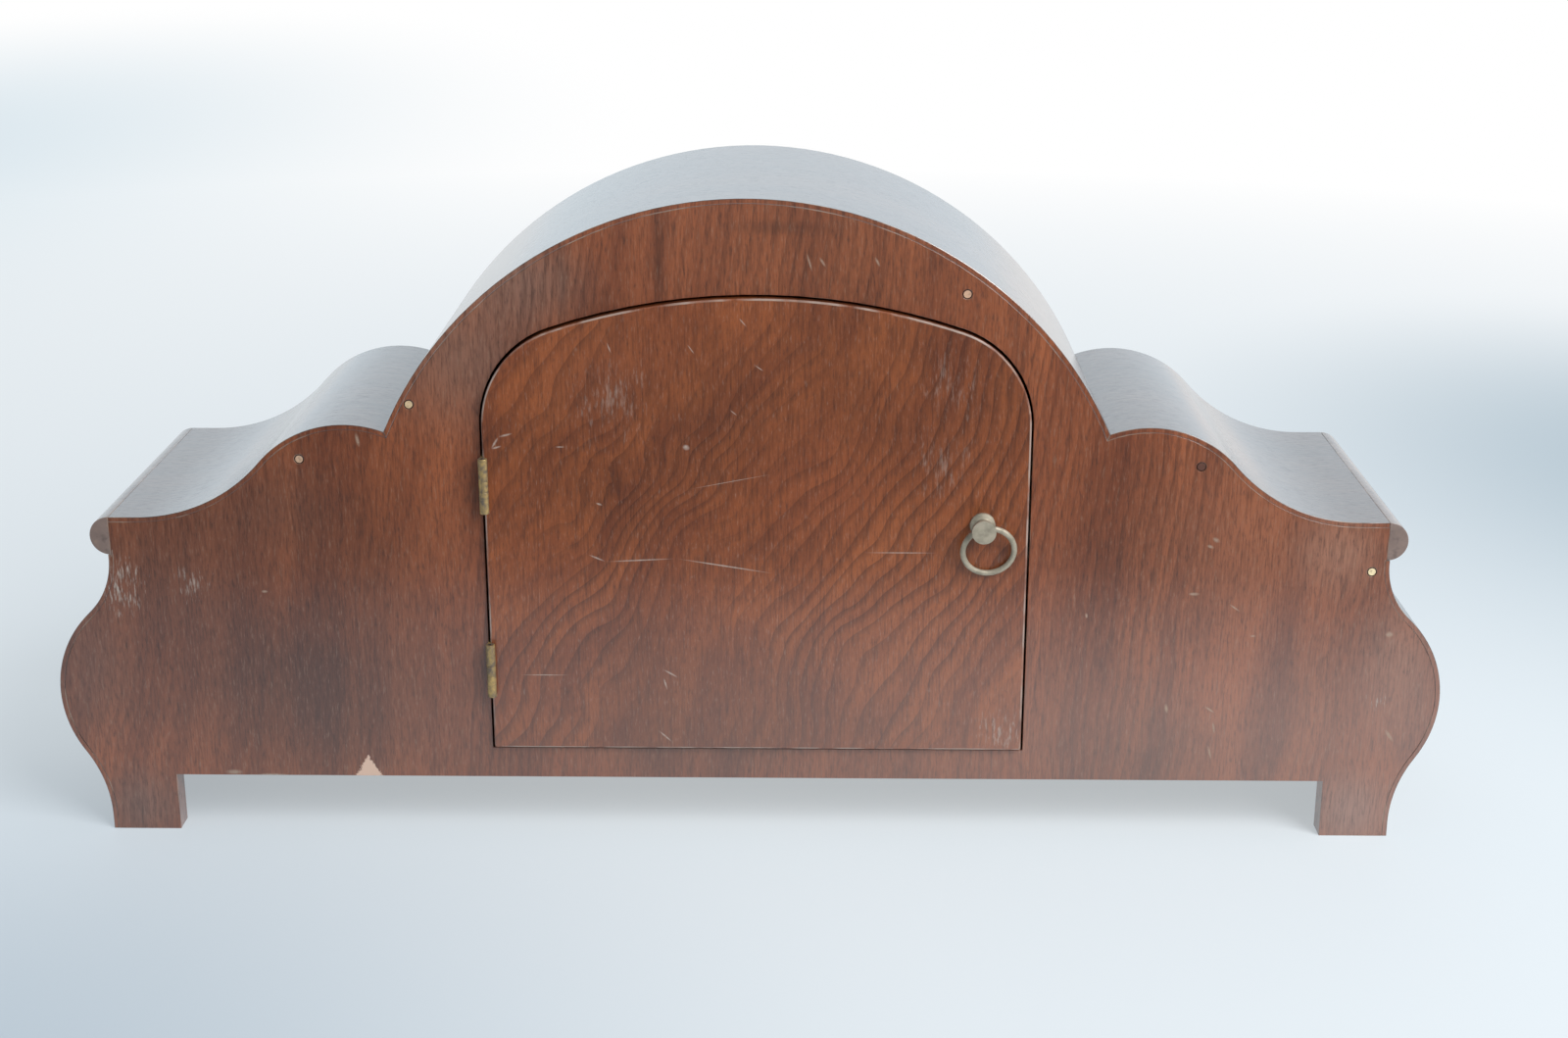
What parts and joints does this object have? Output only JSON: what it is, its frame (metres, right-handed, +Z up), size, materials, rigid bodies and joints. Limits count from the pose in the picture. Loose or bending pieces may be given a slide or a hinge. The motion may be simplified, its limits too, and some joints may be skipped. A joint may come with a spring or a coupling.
{
  "type": "table clock",
  "caption": "Pendulum striking table clock in an arched walnut case with wave-shaped shoulders, bellied sides, a hinged back door with ring latch and a hinged round front glass.",
  "frame": {"origin": "on the floor under the middle of the object's box: mid-width, and mid-depth between the front glass's bow and the latch knob's end", "axes": "+X along the case, to the right as seen from the dial side; +Y from the dial to the back door; +Z up"},
  "size_m": [0.5602, 0.155, 0.264],
  "materials": {
    "walnut_veneer": "satin varnished red-brown walnut veneer",
    "plain_softwood": "bare planed softwood",
    "pale_plug": "bare wooden plug",
    "brass": "lacquered brass",
    "aged_brass": "dull aged brass",
    "steel": "turned steel",
    "cast_iron": "black japanned iron",
    "clear_glass": "clear bowed glass",
    "silvered_dial": "silvered matt dial"
  },
  "bodies": {
    "case": {"front_panel": "walnut_veneer", "back_panel": "walnut_veneer", "panel_pegs": "pale_plug", "arch_skin": "walnut_veneer", "right_side_skin": "walnut_veneer", "left_side_skin": "walnut_veneer", "right_shoulder_skin": "walnut_veneer", "left_shoulder_skin": "walnut_veneer", "right_ear_moulding": "walnut_veneer", "left_ear_moulding": "walnut_veneer", "base_board": "plain_softwood", "glue_blocks": "plain_softwood", "case_hinge_leaves": "aged_brass", "hinge_pins": "steel", "latch_keep": "aged_brass", "bezel_bracket": "brass", "dial": "silvered_dial", "front_plate": "brass", "back_plate": "brass", "movement_screws": "steel", "plate_pillars": "brass", "pillar_nuts": "brass", "suspension_cock": "brass", "gong_block": "cast_iron", "gong_rods": "steel", "gong_bolts": "steel"},
    "door": {"back_door": "walnut_veneer", "door_hinge_leaves": "aged_brass"},
    "latch": {"latch_knob": "aged_brass", "latch_tongue": "steel", "latch_nut": "steel"},
    "ring": {"ring_pull": "aged_brass"},
    "bezel": {"bezel_ring": "brass", "bezel_glass": "clear_glass"},
    "minute": {"centre_arbor": "brass", "minute_hand": "steel", "hand_nut": "brass"},
    "hour": {"hour_wheel": "brass", "hour_hand": "steel"},
    "minute_wheel": {"minute_wheel": "brass"},
    "second_wheel": {"second_wheel": "brass"},
    "third_wheel": {"third_wheel": "brass"},
    "escape_wheel": {"escape_wheel": "brass"},
    "time_barrel": {"time_barrel": "brass", "time_mainspring": "steel"},
    "time_winder": {"time_winding_arbor": "steel"},
    "time_click": {"time_click": "steel"},
    "strike_barrel": {"strike_barrel": "brass", "strike_mainspring": "steel"},
    "strike_winder": {"strike_winding_arbor": "steel"},
    "strike_click": {"strike_click": "steel"},
    "pin_wheel": {"pin_wheel": "brass"},
    "warning_wheel": {"warning_wheel": "brass"},
    "fly": {"fly": "brass"},
    "hammer": {"hammer": "steel"},
    "anchor": {"anchor": "steel"},
    "pendulum": {"suspension_spring": "steel", "pendulum_rod": "steel", "pendulum_bob": "brass"},
    "rating": {"rating_nut": "brass"}
  },
  "joints": [
    {"name": "door_swing", "type": "hinge", "parent": "case", "child": "door", "pos_m": [0.103, 0.06965, 0.062], "axis": [0, 0, -1], "range_deg": [0, 120]},
    {"name": "latch_turn", "type": "hinge", "parent": "door", "child": "latch", "pos_m": [-0.0932, 0.0675, 0.1353], "axis": [0, 1, 0], "range_deg": [0, 90]},
    {"name": "ring_swing", "type": "hinge", "parent": "latch", "child": "ring", "pos_m": [-0.0932, 0.0733, 0.1353], "axis": [0.9703, 0, -0.2419], "range_deg": [0, 170]},
    {"name": "bezel_swing", "type": "hinge", "parent": "case", "child": "bezel", "pos_m": [0.0905, -0.0673, 0.145], "axis": [0, 0, 1], "range_deg": [0, 110]},
    {"name": "minute_turn", "type": "hinge", "parent": "case", "child": "minute", "pos_m": [0, -0.0525, 0.145], "axis": [0, 1, 0], "continuous": true},
    {"name": "hour_turn", "type": "hinge", "parent": "case", "child": "hour", "pos_m": [0, -0.0525, 0.145], "axis": [0, 1, 0], "continuous": true},
    {"name": "minute_wheel_turn", "type": "hinge", "parent": "case", "child": "minute_wheel", "pos_m": [0, -0.0525, 0.16], "axis": [0, 1, 0], "continuous": true},
    {"name": "second_wheel_turn", "type": "hinge", "parent": "case", "child": "second_wheel", "pos_m": [-0.02151, -0.0525, 0.14306], "axis": [0, 1, 0], "continuous": true},
    {"name": "third_wheel_turn", "type": "hinge", "parent": "case", "child": "third_wheel", "pos_m": [0.01, -0.0525, 0.16209], "axis": [0, 1, 0], "continuous": true},
    {"name": "escape_wheel_turn", "type": "hinge", "parent": "case", "child": "escape_wheel", "pos_m": [0, -0.0525, 0.17791], "axis": [0, 1, 0], "continuous": true},
    {"name": "time_barrel_turn", "type": "hinge", "parent": "case", "child": "time_barrel", "pos_m": [-0.028, -0.0525, 0.115], "axis": [0, 1, 0], "continuous": true},
    {"name": "time_winding", "type": "hinge", "parent": "case", "child": "time_winder", "pos_m": [-0.028, -0.0525, 0.115], "axis": [0, 1, 0], "continuous": true},
    {"name": "time_click_lift", "type": "hinge", "parent": "case", "child": "time_click", "pos_m": [-0.03834, -0.0525, 0.1259], "axis": [0, -1, 0], "range_deg": [0, 12]},
    {"name": "pin_wheel_turn", "type": "hinge", "parent": "case", "child": "pin_wheel", "pos_m": [0.0336, -0.0525, 0.14325], "axis": [0, 1, 0], "continuous": true},
    {"name": "strike_barrel_turn", "type": "hinge", "parent": "case", "child": "strike_barrel", "pos_m": [0.028, -0.0525, 0.115], "axis": [0, 1, 0], "continuous": true},
    {"name": "warning_wheel_turn", "type": "hinge", "parent": "case", "child": "warning_wheel", "pos_m": [0.0336, -0.0525, 0.16365], "axis": [0, 1, 0], "continuous": true},
    {"name": "fly_turn", "type": "hinge", "parent": "case", "child": "fly", "pos_m": [0.028, -0.0525, 0.1781], "axis": [0, 1, 0], "continuous": true},
    {"name": "strike_winding", "type": "hinge", "parent": "case", "child": "strike_winder", "pos_m": [0.028, -0.0525, 0.115], "axis": [0, 1, 0], "continuous": true},
    {"name": "strike_click_lift", "type": "hinge", "parent": "case", "child": "strike_click", "pos_m": [0.03834, -0.0525, 0.1259], "axis": [0, 1, 0], "range_deg": [0, 12]},
    {"name": "hammer_lift", "type": "hinge", "parent": "case", "child": "hammer", "pos_m": [0.032, -0.0525, 0.0865], "axis": [0, 1, 0], "range_deg": [-2, 18]},
    {"name": "pendulum_swing", "type": "hinge", "parent": "case", "child": "pendulum", "pos_m": [0, 0.002, 0.19241], "axis": [0, 1, 0], "range_deg": [-3.5, 3.5]},
    {"name": "anchor_rock", "type": "hinge", "parent": "case", "child": "anchor", "pos_m": [0, -0.0525, 0.19241], "axis": [0, 1, 0], "range_deg": [-3.5, 3.5]},
    {"name": "rating_turn", "type": "hinge", "parent": "pendulum", "child": "rating", "pos_m": [0, 0.002, 0.04361], "axis": [0, 0, 1], "continuous": true}
  ],
  "couplings": [
    {"joint": "hour_turn", "follows": "minute_turn", "ratio": 0.083333},
    {"joint": "minute_wheel_turn", "follows": "minute_turn", "ratio": -0.33333},
    {"joint": "second_wheel_turn", "follows": "minute_turn", "ratio": -0.2},
    {"joint": "time_barrel_turn", "follows": "minute_turn", "ratio": 0.025},
    {"joint": "third_wheel_turn", "follows": "minute_turn", "ratio": -10},
    {"joint": "escape_wheel_turn", "follows": "minute_turn", "ratio": 120},
    {"joint": "strike_barrel_turn", "follows": "pin_wheel_turn", "ratio": -0.125},
    {"joint": "warning_wheel_turn", "follows": "pin_wheel_turn", "ratio": -7.5},
    {"joint": "fly_turn", "follows": "pin_wheel_turn", "ratio": 50.625},
    {"joint": "anchor_rock", "follows": "pendulum_swing", "ratio": 1}
  ]
}
